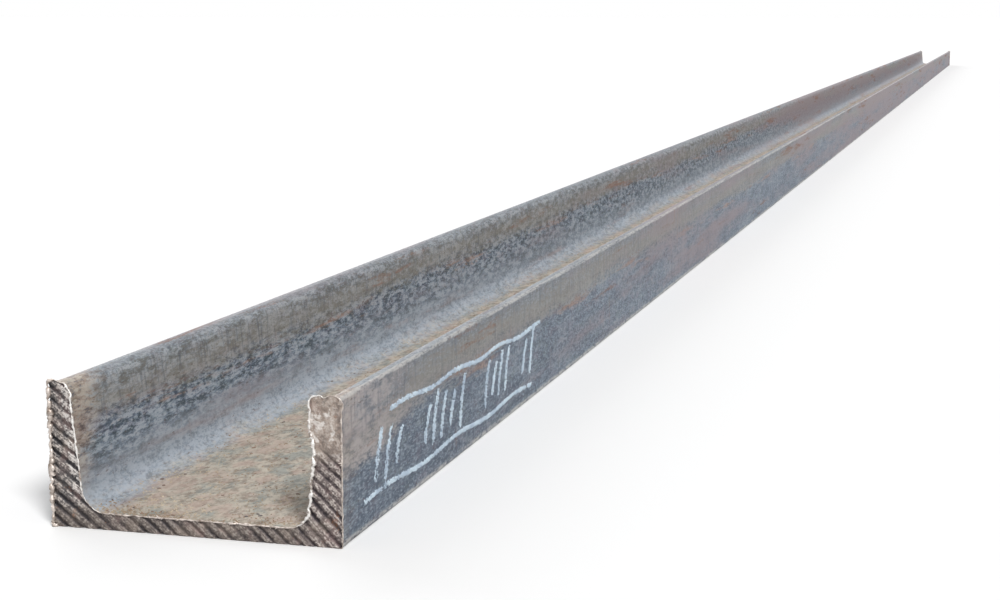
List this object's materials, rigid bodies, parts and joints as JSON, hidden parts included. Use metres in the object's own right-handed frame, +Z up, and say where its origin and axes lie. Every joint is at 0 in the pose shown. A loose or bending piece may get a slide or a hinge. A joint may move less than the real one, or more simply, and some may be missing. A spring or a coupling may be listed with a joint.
{
  "type": "steel channel profile",
  "caption": "Hot-rolled steel channel bar with tapered flanges, rounded roots and toes, and square sawn ends, lying on its web with the trough up.",
  "frame": {"origin": "middle of the underside: on the back of the web, half way across its depth and half way along the bar", "axes": "+X across the web towards the right-hand flange, +Y along the bar towards its far end, +Z up from the back of the web towards the flange tips"},
  "size_m": [0.1, 6, 0.048],
  "materials": {
    "rolled_steel": "matte"
  },
  "bodies": {
    "root": {"channel": "rolled_steel"}
  },
  "joints": []
}
